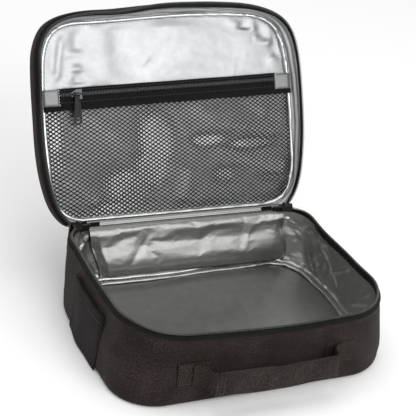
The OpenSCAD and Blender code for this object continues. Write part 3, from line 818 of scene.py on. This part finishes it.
bead = floor_edge(-0.8)
bead[:, 2] = 9.6
pucker = bump_at(np.hypot(bead[:, 0] - 95, bead[:, 1] - 62), 40)
bead[:, 2] += 0.5 * waves(bead[:, :2], 22, 61) + pucker * 0.9 * waves(bead[:, :2], 4, 62)
bead_r = 2.5 + 0.25 * waves(bead[:, :2], 12, 63) + pucker * 0.5 * waves(bead[:, :2], 3.5, 64)
dress(tube("tub_floor_binding", bead, bead_r, 12, closed=True, flat=0.9), "tub_liner", "tub", ["floor_seam_binding"])
piping = floor_edge(-6.0)
piping[:, 2] = 8.5 + 0.3 * waves(piping[:, :2], 24, 65) + pucker * 0.5 * waves(piping[:, :2], 5, 66)
piping_r = 1.7 + 0.15 * waves(piping[:, :2], 10, 67) + pucker * 0.3 * waves(piping[:, :2], 4, 68)
dress(tube("tub_floor_piping", piping, piping_r, 10, closed=True, flat=0.7), "tub_liner", "tub")
inner = floor_edge(-4.0)
inner[:, 2] = 9.0
dress(stitches("tub_floor_stitches", inner, (0, 0, 1), 2.2, 1.3), "thread", "tub")

# ---- hinge ---------------------------------------------------------------------------------


def across(profile, x0, x1, nx, n):
    """A sheet along x whose section in (y, z) is the profile."""
    p = fine(profile, n)
    xs = np.linspace(x0, x1, nx)
    return np.stack([np.broadcast_to(xs[:, None], (nx, n)), np.broadcast_to(p[:, 0], (nx, n)), np.broadcast_to(p[:, 1], (nx, n))], -1).copy()


lid_end = to_lid(0.0, 8.0, 15.2)
pad_profile = [
    (78, 9), (74.6, 15), (73.4, 21), (74.6, 27), (77.6, 33.5), (81, 39.5), (83, 45.5), (84.4, 51), (87.8, 55.6),
    (90.6, 56.6), (91.6, 55.6), (92.4, 56.2), (93.6, 58.6), (95.4, 59.6), (97.2, 58.8), (98.2, 56.8),
    (100, 55.2), (103, 53.6), (105.6, 52.4),
]
H = across(pad_profile, 0, 1, 150, 110)
z = H[..., 2]
# The ends lean: the panel is set a little further left at its top.
left_end = mix(-78, -91, smooth(z / 58))
right_end = mix(110, 100, smooth(z / 58))
H[..., 0] = mix(left_end, right_end, H[..., 0])
x, y = H[..., 0], H[..., 1]
t = np.linspace(0, 1, 110)[None]
ends = smooth((x - left_end) / 8) * smooth((right_end - x) / 8)
soft = 0.6 * waves(np.stack([x * 0.3, t * 90 * np.ones_like(x)], -1), 30, 71)
soft += ridge(x, z, (-56, 22), (-42, 40), 4, 0.8) + ridge(x, z, (-42, 40), (-26, 26), 4, 0.6)
soft += ridge(x, z, (-70, 44), (-20, 52), 4, 0.7)
soft += ridge(x, z, (-10, 53), (70, 49), 4, -0.8) + ridge(x, z, (20, 46), (90, 54), 3.5, 0.8)
soft += ridge(x, z, (-30, 24), (20, 34), 5, 0.5) + ridge(x, z, (60, 40), (92, 30), 6, -0.6)
calm = smooth(t / 0.12) * smooth((0.76 - t) / 0.1)
H = displace(H, -0.5 * soft * calm * (0.3 + 0.7 * ends))
H[..., 1] += (1 - ends) * 5.0 * smooth(t / 0.1) * smooth((0.62 - t) / 0.2)
pad = grid("hinge_lining", H)
grip_edge = 1 - calm * ends * np.ones_like(x)
settle(pad, np.clip(grip_edge, 0, 1).ravel(), 0.3, 0.7, 0.001)
# The hinge lining takes the darker foil copy, which paints its shade into the colour.
dress(pad, "hinge_liner_painted_shade", None, ["hinge_pad_liner", "hinge_pad_foam"])
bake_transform(pad)

# Outer hinge fabric across the back, from the back panel to the lid's back gusset.
lid_back = to_lid(0.0, -3.6, 12.0)
out_profile = [(93.2, 44), (94.4, 47), (96.6, 49.6), (99.4, 50.6), (lid_back[1], lid_back[2])]
O = across(out_profile, -95, 104, 90, 26)
O = displace(O, 0.35 * waves(O, 22, 81))
hinge_cloth = grid("hinge_fabric", O, flip=True)
solidify(hinge_cloth, 0.8)
apply_all(hinge_cloth)
dress(hinge_cloth, "dark", None, ["hinge_fold"])
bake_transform(hinge_cloth)

# ---- lid: outer shell ----------------------------------------------------------------------

gusset_profile = [(-1.2, 7.4), (-0.2, 7.9), (0.7, 9.2), (1.3, 13), (1.1, 18), (0.2, 21.4), (-1.8, 23.6), (-5, 24.6), (-12, 25.2)]
G = band(lid_ring, gusset_profile, 40, closed=True)
G = displace(G, 0.35 * waves(G, 30, 91), closed=True)
gusset = grid("lid_shell", G, wrap_n=True, flip=True)
dress(gusset, "shell", "lid", ["lid_gusset", "lid_back_gusset"])

top_ring = lid_outline(22, True)
top_ring = top_ring - normals_of(top_ring, True) * 12
centre = top_ring.mean(0)
s = np.linspace(1, 0, 50) ** 0.8
Q = centre + (top_ring[:, None] - centre) * s[None, :, None]
puff = 25.2 + 1.6 * smooth((1 - s) * 2.2)[None] + 0.6 * waves(Q, 55, 95) * smooth((1 - s) * 4)[None]
P3 = to_lid(Q[..., 0], -Q[..., 1], puff)
lid_top = grid("lid_top", P3, wrap_n=True, flip=True)
settle(lid_top, (1 - smooth((1 - s) * 6)[None] + 0 * puff).ravel(), 1.5, 3.0, 0.006)
dress(lid_top, "shell", "lid", ["lid_top_panel", "lid_foam", "lid_gusset_foam"])

seam = band(lid_ring, [(-0.9, 6.4), (0.3, 6.6), (0.9, 7.3), (0.6, 8.0), (-0.2, 8.3)], 8, closed=True)
dress(grid("lid_rim_seam", seam, wrap_n=True, flip=True), "dark", "lid", ["lid_seam_fold"])

tape_profile = [(-0.5, 6.9), (-0.8, 5.4), (-1.2, 3.6), (-1.8, 2.0), (-2.4, 1.1), (-2.9, 1.4), (-3.0, 3.2), (-3.2, 6.0)]
T = band(lid_ring, tape_profile, 24)
T = T + waves(T, 30, 22)[..., None] * 0.3
# At the front the lid's tape hangs a little, to meet the tub's sagging rim when closed.
rim_line = lid_outline(3)
hang = smooth((-rim_line[:, 1] - 140) / 40) * bump_at(rim_line[:, 0] - 14, 84)
droop = -5.2 * (to_lid(0, 0, 1.0) - to_lid(0, 0, 0.0)) + 3.0 * (to_lid(0, 1.0, 0) - to_lid(0, 0, 0.0))
reach = np.sin(math.pi * np.linspace(0, 1, 24) ** 0.8)
T = T + droop * hang[:, None, None] * reach[None, :, None]
dress(grid("lid_zip_tape_cloth", T, flip=True), "tape", "lid", ["lid_zip_tape"])
down = -(to_lid(0, 0, 1.0) - to_lid(0, 0, 0.0))
rim = lid_ring(1.3, -2.2)
rim = rim + waves(rim, 30, 22)[..., None] * 0.3 + droop * hang[:, None]
down = -(to_lid(0, 0, 1.0) - to_lid(0, 0, 0.0))
teeth("lid_zip_teeth", rim, lid_ring(1.3, -2.0) - lid_ring(1.3, -4.0), np.broadcast_to(down, rim.shape), "lid", ["lid_zip_coil"])

# ---- lid: lining ---------------------------------------------------------------------------

lip = lid_ring(4.6, -3.1, closed=True)
edge_line = curve_through(LINING_LINE, True)
edge_pts = to_lid(edge_line[:, 0], -edge_line[:, 1], 16.4)
t = np.linspace(0, 1, 34)
Lg = lip[:, None] * (1 - t[None, :, None]) + edge_pts[:, None] * t[None, :, None]
run = np.linspace(0, 60, len(lip))[:, None]
pleats = 1.1 * np.sin(2 * math.pi * (t[None] * 2.2 + 0.12 * np.sin(run * 0.7))) * np.sin(math.pi * t)[None] ** 0.6
Lg = displace(Lg, (1.4 * np.sin(math.pi * t)[None] + 0.5 * waves(Lg, 15, 101)) * np.sin(math.pi * t)[None] ** 0.5 - pleats * 0.8, closed=True)
dress(grid("lid_gusset_lining", Lg, wrap_n=True), "liner", "lid", ["lid_gusset_liner"])

PANEL_FOLDS = [
    # (x, v) ends, width, height towards the opening
    ((-101, 158), (-106, 122), 3.0, 2.0), ((-109, 160), (-110, 128), 5.0, -1.5),
    ((-84, 172), (-87, 146), 5.5, -1.9), ((-96, 166), (-94, 140), 5.0, 0.9),
    ((-64, 172), (-62, 118), 9.0, 2.0), ((-52, 168), (-40, 120), 10.0, -1.3),
    ((-87, 133), (-99, 114), 3.5, 1.3), ((-87, 133), (-74, 114), 3.5, 1.3), ((-87, 118), (-87, 128), 7, -1.6),
    ((-21, 134), (-8, 121), 7.0, -0.7),
    ((-20, 165), (90, 138), 12.0, 1.4), ((0, 150), (104, 128), 7.0, -1.3), ((10, 140), (112, 122), 6.0, 1.2),
    ((60, 176), (73, 165), 4.0, 1.5), ((79, 175), (78, 162), 5.5, -1.9), ((88, 176), (88, 160), 2.6, 1.8),
    ((96, 172), (97, 150), 6.5, -2.2), ((88, 154), (104, 148), 2.8, 1.4), ((106, 163), (104, 147), 2.6, 1.7),
    ((112, 154), (111, 136), 5.0, -1.9), ((104, 136), (118, 126), 4.0, 1.5),
]
edge_loop = np.stack([edge_line[:, 0], -edge_line[:, 1]], 1)


def panel_puff(px, pv):
    """How far the lid's lining stands towards the opening, in mm."""
    q = np.stack([px, pv], -1)
    puff = 0.5 * waves(q, 60, 111) + 0.12 * (crumple(q, 42, 112) - 1.2)
    for a, b, width, height in PANEL_FOLDS:
        puff = puff + ridge(px, pv, a, b, width * 1.35, height * 0.62)
    return puff


def inside_edge(px, pv):
    """0 on the lining's edge, rising to 1 a little way in."""
    q = np.stack([px, pv], -1).reshape(-1, 1, 2)
    d = np.concatenate([np.hypot(*(c - edge_loop[None]).transpose(2, 0, 1)).min(1) for c in np.array_split(q, max(1, len(q) // 4000))])
    return smooth(d.reshape(px.shape) / 14)


centre = edge_line.mean(0)
s = np.linspace(1, 0, 130)
Q = centre + (edge_line[:, None] - centre) * s[None, :, None]
px, pv = Q[..., 0], -Q[..., 1]
inside = smooth((1 - s) * 8)[None]
panel_h = 17.0 - panel_puff(px, pv) * inside
lid_panel = grid("lid_panel_lining", to_lid(px, pv, panel_h), wrap_n=True)
dress(lid_panel, "liner", "lid", ["lid_liner"])

bead = edge_line - normals_of(edge_line, True) * 0.6
depth = 15.6 + 0.4 * waves(bead, 18, 121)
corner = bump_at(np.hypot(bead[:, 0] - 104, -bead[:, 1] - 160), 30) + bump_at(np.hypot(bead[:, 0] - 116, -bead[:, 1] - 16), 18)
corner = corner + 0.7 * bump_at(np.hypot(bead[:, 0] + 104, -bead[:, 1] - 166), 18)
depth = depth + corner * 0.8 * waves(bead, 4, 122)
rad = 1.9 + 0.2 * waves(bead, 9, 123) + corner * 0.4 * waves(bead, 3.5, 124)
up = to_lid(0, 0, 1.0) - to_lid(0, 0, 0.0)
dress(tube("lid_panel_binding", to_lid(bead[:, 0], -bead[:, 1], depth), rad, 12, closed=True, up=up), "binding", "lid", ["lid_seam_binding"])
stitch_line = edge_line - normals_of(edge_line, True) * 3.4
front_h = 16.3 + 0 * stitch_line[:, 0]
dress(stitches("lid_panel_stitches", to_lid(stitch_line[:, 0], -stitch_line[:, 1], front_h), down, 2.0, 1.4, 0.45, 0.3), "thread", "lid")

# ---- lid: mesh pocket ----------------------------------------------------------------------

MESH_TOP = 120.3
CHAIN_V = MESH_TOP - 5.6
BAND_TILT = math.radians(1.75)


def in_band(x, v):
    """The zip band's own coordinates to the lid's: it is turned about its right end."""
    c, s = math.cos(BAND_TILT), math.sin(BAND_TILT)
    dx, dv = x - 107, v - MESH_TOP
    return 106.55 + dx * c - dv * s, MESH_TOP + dx * s + dv * c


def band_drop(x):
    """How much lower the band lies at x than at its right end."""
    return (107 - x) * math.tan(BAND_TILT)


def lid_side(v, side, off=0.0):
    """x of the lining's edge at distance v from the hinge, on one side, moved in by off."""
    half = edge_loop[edge_loop[:, 0] * side > 60][:230]
    half = half[(half[:, 1] > -1.7) & (half[:, 1] < 150)]
    order = np.argsort(half[:, 1])
    return np.interp(v, half[order, 1], half[order, 0]) - side * off


# Where the net lies against the lining (1) and where it stands off it (0).
NET_TOUCH = [
    (-16, 66, 21, 26, 1.0), (-42, 26, 22, 17, 0.9), (-22, 42, 20, 20, 0.9), (36, 62, 26, 7, 0.8),
    (80, 57, 30, 5.5, 0.9), (108, 62, 12, 5, 0.7), (50, 30, 16, 9, 0.8), (100, 24, 20, 5, 0.5),
    (-112, 74, 9, 22, 0.8), (-108, 48, 8, 12, 0.5), (60, 90, 50, 6, 0.3), (-50, 8, 40, 6, 0.6),
]
NET_FOLDS = [
    ((46, 76), (116, 62), 3.2, 3.0), ((48, 51), (116, 34), 3.6, 3.4), ((62, 42), (116, 27), 3.0, 2.0),
    ((13, 38), (6, 10), 6.0, 3.2), ((-84, 92), (-50, 60), 6.0, 2.2), ((-104, 34), (-74, 12), 6.0, 2.6),
    ((20, 96), (40, 76), 7.0, 1.6), ((-100, 60), (-60, 48), 5.0, 2.0), ((-2, 92), (22, 52), 5.0, 1.5),
    ((72, 96), (96, 84), 5.0, 1.6),
]


def net_h(px, pv):
    """Depth of the net: pressed to the lining in places, standing off in soft folds elsewhere."""
    edge = inside_edge(px, pv)
    touch = np.zeros_like(px)
    for x0, v0, rx, rv, amount in NET_TOUCH:
        touch = np.maximum(touch, amount * np.exp(-(((px - x0) / rx) ** 2) - ((pv - v0) / rv) ** 2))
    gap = mix(3.8, 0.35, smooth(touch * 1.25)) + 0.5 * waves(np.stack([px, pv], -1), 30, 131)
    for a, b, width, height in NET_FOLDS:
        gap = gap + ridge(px, pv, a, b, width, height)
    gap = np.maximum(gap, 0.35)
    hem = smooth((104 - band_drop(px) - pv) / 10)
    base = 17.0 - panel_puff(px, pv) * edge
    return mix(15.4, np.minimum(base - gap, 16.4), edge * hem) - (1 - hem) * 1.2


PX, PV = 5.45, 3.60
cells = []
for row in range(-2, 60):
    for col in range(-46, 47):
        cx, cv = (col + 0.5 * (row % 2)) * PX, row * PV / 2
        if 0.4 < cv < 104.3 - band_drop(cx) and lid_side(cv, -1, -0.6) < cx < lid_side(cv, 1, -0.6):
            cells.append((cx, cv))
cells = np.array(cells)
a = np.linspace(0, 2 * math.pi, 8, endpoint=False)
outer = np.array([(1, 0), (0.5, 0.5), (0, 1), (-0.5, 0.5), (-1, 0), (-0.5, -0.5), (0, -1), (0.5, -0.5)])
inner_ring = np.array([(1, 0), (0.60, 0.60), (0, 1), (-0.60, 0.60), (-1, 0), (-0.60, -0.60), (0, -1), (0.60, -0.60)]) * [0.66, 0.64]
size = np.array([PX / 2, PV / 2])
net_outer = cells[:, None] + outer[None] * size
net_inner = cells[:, None] + inner_ring[None] * size
flat_pts = np.concatenate([net_outer, net_inner], 1).reshape(-1, 2)
px, pv = flat_pts[:, 0], flat_pts[:, 1]
net_pts = to_lid(px, pv, net_h(px, pv))
k = np.arange(8)
quad = np.stack([k, (k + 1) % 8, 8 + (k + 1) % 8, 8 + k], 1)
net_faces = (quad[None] + 16 * np.arange(len(cells))[:, None, None]).reshape(-1, 4)
keys = {}
index = np.zeros(len(flat_pts), int)
kept = []
for i, p in enumerate(np.round(flat_pts * 50).astype(int).tolist()):
    j = keys.setdefault(tuple(p), len(kept))
    if j == len(kept):
        kept.append(i)
    index[i] = j
net_faces = index[net_faces]
net_cloth = mesh_object("mesh_pocket_net", net_pts[kept], net_faces, flat_pts[kept] / 100)
solidify(net_cloth, 0.35, 0)
apply_all(net_cloth)
dress(net_cloth, "net", "lid", ["mesh_pocket"])


def strip(name, x0, x1, v0, v1, h, mat, cad=(), thick=0.7, wobble=0.3, seed=1, body="lid", bend=0.0):
    """A flat strip of cloth on the lid's inside, a little uneven, with thickness."""
    xs, vv = np.linspace(x0, x1, max(6, int((x1 - x0) / 3))), np.linspace(v0, v1, 7)
    X, V = np.meshgrid(xs, vv, indexing="ij")
    lift = wobble * waves(np.stack([X, V], -1), 26, seed)
    height = h + lift - bend * (1 - ((V - v0) / (v1 - v0) * 2 - 1) ** 2)
    o = grid(name, to_lid(*in_band(X, V + lift * 0.6), height))
    solidify(o, thick, 0)
    apply_all(o)
    return dress(o, mat, body, cad)


half = 107.0
strip("mesh_hem_cloth", lid_side(97.0, -1), lid_side(102.0, 1), 101.0, 105.8, 12.6, "tape", ["mesh_hem"], 1.0, 0.35, 141)
strip("mesh_tape_lower", -half, half, 105.2, CHAIN_V - 0.3, 12.5, "tape", ["mesh_zip_lower_tape"], 0.9, 0.3, 142)
strip("mesh_tape_upper", -half, half, CHAIN_V + 0.3, MESH_TOP, 12.6, "tape", ["mesh_zip_upper_tape"], 0.9, 0.3, 142)
strip("mesh_patch_left", lid_side(107, -1), -half + 1.5, 105.4, MESH_TOP - 0.6, 12.2, "patch", ["mesh_end_patch_left"], 0.8, 0.3, 143)
strip("mesh_patch_right", half - 1.5, lid_side(112, 1), 105.4, MESH_TOP - 0.6, 12.2, "patch", ["mesh_end_patch_right"], 0.8, 0.3, 144)

xs = np.linspace(-half + 3, half - 3, 300)
path = to_lid(*in_band(xs, CHAIN_V), 11.9)
vdir = np.broadcast_to(to_lid(0, 1, 0) - to_lid(0, 0, 0), path.shape)
ndir = np.broadcast_to(down, path.shape)
teeth("mesh_zip_teeth", path, vdir, ndir, "lid", ["mesh_zip_coil"], (0.9, 4.2, 1.2), 1.4)
for name, v in (("mesh_stitches_low", 108.0), ("mesh_stitches_high", 118.4)):
    dress(stitches(name, to_lid(*in_band(xs, v), 11.85), down, 2.0, 1.2), "black_thread", "lid")
row = np.linspace(106.4, MESH_TOP - 1.4, 12)
for name, x in (("mesh_patch_stitches_left", -half + 0.6), ("mesh_patch_stitches_right", half - 0.6)):
    dress(stitches(name, to_lid(*in_band(x + 0 * row, row), 11.6), down, 1.7, 0.9, 0.7, 0.4), "thread", "lid")

# ---- handle --------------------------------------------------------------------------------

WALL_LEAN = math.atan2(5.0, 55.0)


def front_wall(x, z, out=0.0):
    """A point on the leaning front wall."""
    zz = np.asarray(z, float)
    return np.stack(np.broadcast_arrays(x, -mix(96.4, 91.2, zz / WALL_H) - 0.9 - out, zz), -1).astype(float)


def webbing_piece(name, centre_line, widths, mat, body, cad, up=(0, 0, 1), thick=1.3, n=60):
    """A strap that follows a line, its width along up."""
    c = fine(centre_line, n)
    w = np.interp(np.linspace(0, 1, n), np.linspace(0, 1, len(widths)), widths)
    a = np.linspace(-0.5, 0.5, 11)
    P = c[:, None] + a[None, :, None] * w[:, None, None] * np.asarray(up, float)
    o = grid(name, P)
    solidify(o, thick, 0)
    apply_all(o)
    return dress(o, mat, body, cad)


for side, tag in ((-1, "left"), (1, "right")):
    outer = HANDLE_X + side * 78
    xs = np.linspace(outer, outer - side * 26, 5)
    pts = front_wall(xs, 28.0, [1.0, 1.0, 1.1, 1.2, 1.6])
    webbing_piece("handle_patch_cloth_" + tag, pts, [20, 20], "webbing", "tub", ["handle_patch_" + tag], (0, math.sin(WALL_LEAN), math.cos(WALL_LEAN)))
    # Box of stitches on the patch.
    a, b = outer - side * 2.2, outer - side * 20
    low, high = 20.4, 35.6
    for k, (p, q) in enumerate((((a, low), (b, low)), ((b, low), (b, high)), ((b, high), (a, high)), ((a, high), (a, low)), ((a, low), (b, high)), ((a, high), (b, low)))):
        xx, zz = np.linspace(p[0], q[0], 12), np.linspace(p[1], q[1], 12)
        s = stitches(f"patch_stitches_{tag}_{k}", front_wall(xx, zz, 1.7), (0, -1, 0), 1.9, 0.8, 0.5, 0.4)
        dress(s, "black_thread", "tub")

GRIP_Y = -112.6
for side, tag in ((-1, "left"), (1, "right")):
    p = [
        (HANDLE_X + side * 66, -97.6, 28), (HANDLE_X + side * 61, -98.2, 28), (HANDLE_X + side * 57.5, -101.5, 28),
        (HANDLE_X + side * 56.0, -106, 28), (HANDLE_X + side * 54.5, -110.5, 27.9), (HANDLE_X + side * 51, GRIP_Y, 27.8),
    ]
    c = fine(p, 50)
    a = np.linspace(-0.5, 0.5, 11)
    P = c[:, None] + a[None, :, None] * 19.6 * np.array([0, 0, 1.0])
    o = grid("handle_strap_" + tag, P)
    solidify(o, 1.4, 0)
    apply_all(o)
    dress(o, "webbing", None, ["handle_loop_" + tag])
    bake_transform(o)

# Grip: a fabric sleeve folded round the webbing, with a raised hem and closed ends.
nx, na = 120, 44
xs = np.linspace(HANDLE_X - 54.5, HANDLE_X + 54.5, nx)
a = np.linspace(0, 2 * math.pi, na, endpoint=False)
end = 1 - 0.16 * bump_at((np.abs(np.linspace(-1, 1, nx)) - 1) * 54, 3.0)
yy = 3.4 * np.sign(np.cos(a)) * np.abs(np.cos(a)) ** 0.75
zz = 10.3 * np.sign(np.sin(a)) * np.abs(np.sin(a)) ** 0.62
sag = -0.6 * np.cos(np.linspace(-1, 1, nx) * math.pi / 2)
P = np.stack([
    np.broadcast_to(xs[:, None], (nx, na)),
    GRIP_Y + yy[None] * end[:, None],
    27.2 + sag[:, None] + zz[None] * end[:, None],
], -1)
P = displace(P, 0.35 * waves(P * [0.5, 1, 1], 12, 151) - 0.5 * bump_at(P[..., 2] - 19.6, 0.8) * (P[..., 1] < GRIP_Y), wrap_m=True)
cap0 = P[0].mean(0)
verts = np.concatenate([P.reshape(-1, 3), [P[0].mean(0), P[-1].mean(0)]])
faces = grid_faces(nx, na, wrap_m=True)[:, ::-1].tolist()
faces += [[nx * na, k, (k + 1) % na] for k in range(na)]
faces += [[nx * na + 1, (nx - 1) * na + (k + 1) % na, (nx - 1) * na + k] for k in range(na)]
uv = np.concatenate([np.stack(np.broadcast_arrays(xs[:, None], (a * 7)[None]), -1).reshape(-1, 2), [[0, 0], [0, 0]]]) / 100
grip = mesh_object("handle_grip", verts, faces, uv)
near_end = smooth((np.abs(verts[:, 0] - HANDLE_X) - 50) / 4)
settle(grip, near_end, 3.0, 1.2, 0.01)
dress(grip, "grip", "handle", ["handle_grip_wrap", "handle_grip_core"])
xx = np.linspace(HANDLE_X - 52, HANDLE_X + 52, 60)
row = np.stack([xx, np.full(60, GRIP_Y - 3.35), np.full(60, 21.6)], 1)
dress(stitches("grip_stitches", row, (0, -1, 0), 2.0, 1.2, 0.5, 0.4), "black_thread", "handle")
for side in (-1, 1):
    for k, dx in enumerate((48.5, 51.0)):
        zz = np.linspace(19.5, 34.5, 10)
        row = np.stack([np.full(10, HANDLE_X + side * dx), np.full(10, GRIP_Y - 3.6), zz], 1)
        dress(stitches(f"grip_end_stitches_{side + 1}_{k}", row, (0, -1, 0), 1.9, 0.9, 0.5, 0.4), "black_thread", "handle")

# ---- side pocket ---------------------------------------------------------------------------

nz, ny = 40, 60
zs = np.linspace(1.2, 50.0, nz)
t = np.linspace(0, 1, ny)
Y0 = -34 - 3.0 * (1 - zs / 50)
rows = []
for k, zc in enumerate(zs):
    yy = mix(Y0[k], 30.0, t)
    wall = -mix(127.0, 120.25, zc / WALL_H) - 1.0 + 5.0 * (1 - zc / WALL_H) * smooth((yy + 10) / 65)
    wall = wall + 2.4 * smooth((-yy - 24) / 14) * (1 - zc / WALL_H) * 0
    gape = 0.5 + 2.4 * np.sin(math.pi * t) ** 0.8 * smooth((zc - 6) / 36) + 0.6 * smooth((zc - 8) / 40)
    stitched = smooth(t / 0.05) * smooth((1 - t) / 0.05)
    rows.append(np.stack([wall - gape * stitched, yy, np.full(ny, zc) - 2.2 * (1 - t) * (zc / 50)], 1))
P = np.stack(rows, 1)
P = displace(P, 0.4 * waves(P * [1, 1, 0.4], 18, 161))
pocket = grid("side_pocket_cloth", P, flip=True)
solidify(pocket, 0.9, 0)
apply_all(pocket)
# The pocket takes the darker black weave: painted shade on the left side.
dress(pocket, "dark", "tub", ["side_pocket_panel"])
hem = np.stack([P[:, -7:][:, k] + [-0.75, 0, 0] for k in range(7)], 1)
o = grid("side_pocket_hem_cloth", hem, flip=True)
solidify(o, 0.9, 0)
apply_all(o)
# The hem also takes the darker black weave: painted shade.
dress(o, "dark", "tub", ["side_pocket_hem"])
dress(stitches("side_pocket_stitches", hem[2:-2, 1] + [-0.6, 0, 0], (-1, 0, 0), 2.2, 1.1), "black_thread", "tub")

# ---- CAD pieces that stay ------------------------------------------------------------------

for name in ("slider_left", "slider_right", "pull_left", "pull_right", "mesh_slider", "mesh_pull"):
    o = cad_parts[name]
    o.data.materials.clear()
    o.data.materials.append(MAT["bronze" if name.startswith("slider") else "gloss"])
for name in ("zip_end_tab_left", "zip_end_tab_right"):
    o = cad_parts[name]
    o.data.materials.clear()
    o.data.materials.append(MAT["tape"])
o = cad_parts["mesh_zip_stops"]
o.data.materials.clear()
o.data.materials.append(MAT["brass"])
